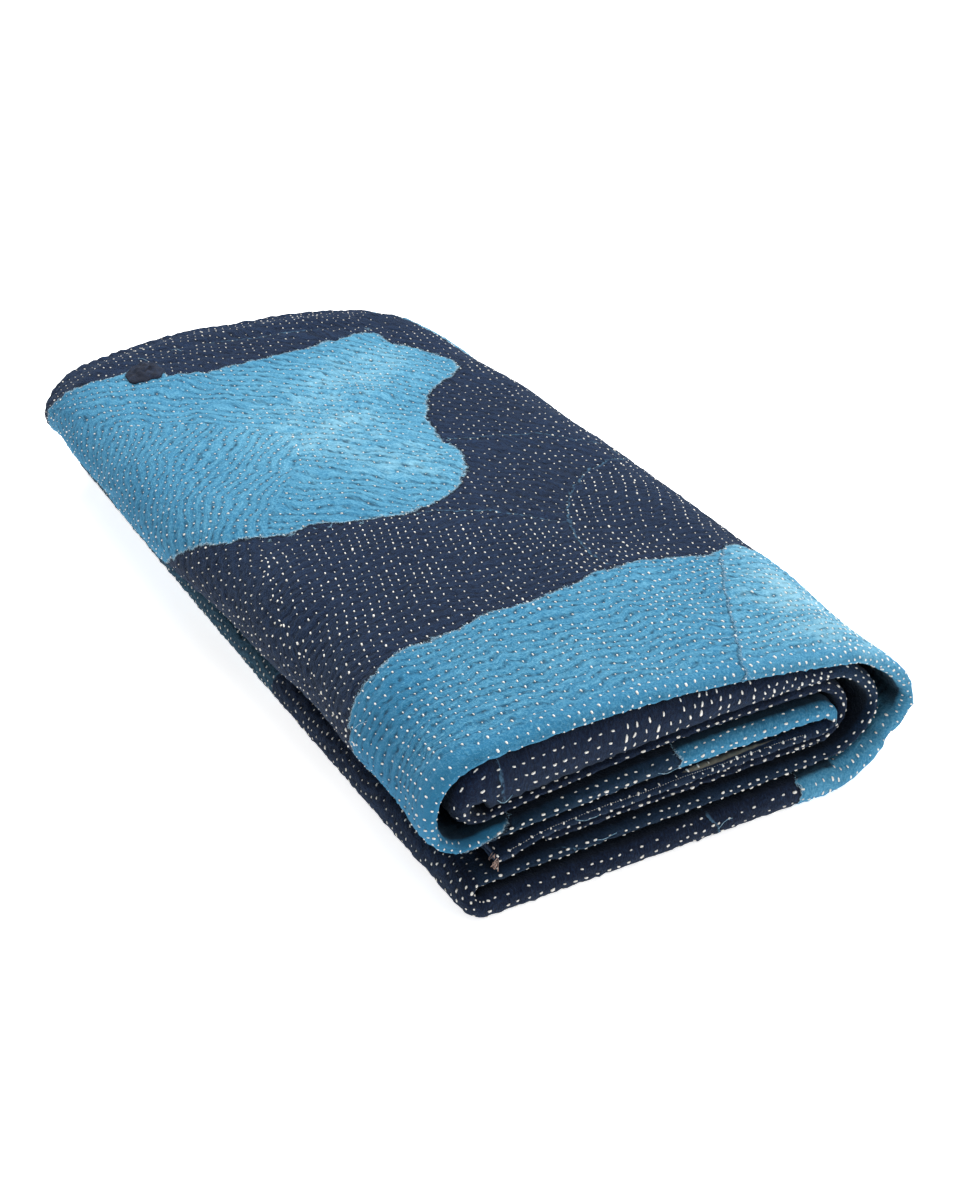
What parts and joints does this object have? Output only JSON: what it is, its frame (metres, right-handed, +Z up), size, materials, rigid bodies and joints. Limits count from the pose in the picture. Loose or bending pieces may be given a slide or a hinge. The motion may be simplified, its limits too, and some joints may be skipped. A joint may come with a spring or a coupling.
{
  "type": "folded kantha quilt",
  "caption": "Thick patched cotton quilt in indigo blues with white running stitch, folded lengthwise and crosswise into a long flat bundle.",
  "frame": {"origin": "middle of the bundle's box, at the surface that it lies on", "axes": "+Y from the folded front end to the back end, +X across the bundle towards the wrapped edge, +Z up"},
  "size_m": [0.4148, 0.8104, 0.131],
  "materials": {
    "quilted_cotton": "soft worn cotton, navy and light blue patches, white running stitch"
  },
  "bodies": {
    "root": {"quilt": "quilted_cotton"}
  },
  "joints": []
}
